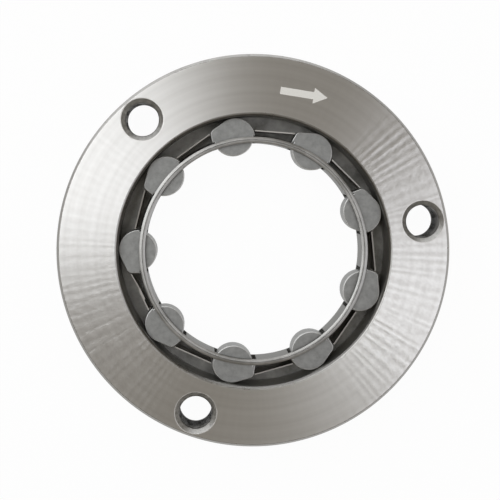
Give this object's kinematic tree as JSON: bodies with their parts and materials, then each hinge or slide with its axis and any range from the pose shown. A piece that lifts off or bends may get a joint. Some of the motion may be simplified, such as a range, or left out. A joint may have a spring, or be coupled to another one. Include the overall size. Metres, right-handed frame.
{
  "type": "starter clutch",
  "caption": "One-way starter clutch: thick steel ring with tapped bolt holes and a direction arrow, holding a flanged cage of tilting sprags with a ribbon spring.",
  "frame": {"origin": "centre of the outer race's back face, the face that bolts to the flywheel", "axes": "+Z along the axis, out of the front face that carries the arrow; +X to the right and +Y up as the front face is seen"},
  "size_m": [0.08, 0.08, 0.011],
  "materials": {
    "race_steel": "fine turned face, ground raceway",
    "cage_steel": "satin pressed sheet",
    "spring_steel": "satin strip",
    "sprag_steel": "tumbled satin"
  },
  "bodies": {
    "race": {"outer_race": "race_steel"},
    "sprag_cage": {"cage": "cage_steel", "ribbon_spring": "spring_steel"},
    "sprag_1_body": {"sprag_1": "sprag_steel"},
    "sprag_2_body": {"sprag_2": "sprag_steel"},
    "sprag_3_body": {"sprag_3": "sprag_steel"},
    "sprag_4_body": {"sprag_4": "sprag_steel"},
    "sprag_5_body": {"sprag_5": "sprag_steel"},
    "sprag_6_body": {"sprag_6": "sprag_steel"},
    "sprag_7_body": {"sprag_7": "sprag_steel"},
    "sprag_8_body": {"sprag_8": "sprag_steel"},
    "sprag_9_body": {"sprag_9": "sprag_steel"}
  },
  "joints": [
    {"name": "cage_spin", "type": "hinge", "parent": "race", "child": "sprag_cage", "pos_m": [0, 0, 0.0055], "axis": [0, 0, 1], "continuous": true},
    {"name": "sprag_1_tilt", "type": "hinge", "parent": "sprag_cage", "child": "sprag_1_body", "pos_m": [0.02222, 0.00761, 0.0056], "axis": [0, 0, 1], "range_deg": [-4, 3]},
    {"name": "sprag_2_tilt", "type": "hinge", "parent": "sprag_cage", "child": "sprag_2_body", "pos_m": [0.01213, 0.02011, 0.0056], "axis": [0, 0, 1], "range_deg": [-4, 3]},
    {"name": "sprag_3_tilt", "type": "hinge", "parent": "sprag_cage", "child": "sprag_3_body", "pos_m": [-0.00363, 0.0232, 0.0056], "axis": [0, 0, 1], "range_deg": [-4, 3]},
    {"name": "sprag_4_tilt", "type": "hinge", "parent": "sprag_cage", "child": "sprag_4_body", "pos_m": [-0.0177, 0.01544, 0.0056], "axis": [0, 0, 1], "range_deg": [-4, 3]},
    {"name": "sprag_5_tilt", "type": "hinge", "parent": "sprag_cage", "child": "sprag_5_body", "pos_m": [-0.02348, 0.00045, 0.0056], "axis": [0, 0, 1], "range_deg": [-4, 3]},
    {"name": "sprag_6_tilt", "type": "hinge", "parent": "sprag_cage", "child": "sprag_6_body", "pos_m": [-0.01828, -0.01475, 0.0056], "axis": [0, 0, 1], "range_deg": [-4, 3]},
    {"name": "sprag_7_tilt", "type": "hinge", "parent": "sprag_cage", "child": "sprag_7_body", "pos_m": [-0.00452, -0.02305, 0.0056], "axis": [0, 0, 1], "range_deg": [-4, 3]},
    {"name": "sprag_8_tilt", "type": "hinge", "parent": "sprag_cage", "child": "sprag_8_body", "pos_m": [0.01135, -0.02056, 0.0056], "axis": [0, 0, 1], "range_deg": [-4, 3]},
    {"name": "sprag_9_tilt", "type": "hinge", "parent": "sprag_cage", "child": "sprag_9_body", "pos_m": [0.02191, -0.00845, 0.0056], "axis": [0, 0, 1], "range_deg": [-4, 3]}
  ],
  "couplings": [
    {"joint": "sprag_2_tilt", "follows": "sprag_1_tilt", "ratio": 1},
    {"joint": "sprag_3_tilt", "follows": "sprag_1_tilt", "ratio": 1},
    {"joint": "sprag_4_tilt", "follows": "sprag_1_tilt", "ratio": 1},
    {"joint": "sprag_5_tilt", "follows": "sprag_1_tilt", "ratio": 1},
    {"joint": "sprag_6_tilt", "follows": "sprag_1_tilt", "ratio": 1},
    {"joint": "sprag_7_tilt", "follows": "sprag_1_tilt", "ratio": 1},
    {"joint": "sprag_8_tilt", "follows": "sprag_1_tilt", "ratio": 1},
    {"joint": "sprag_9_tilt", "follows": "sprag_1_tilt", "ratio": 1}
  ]
}
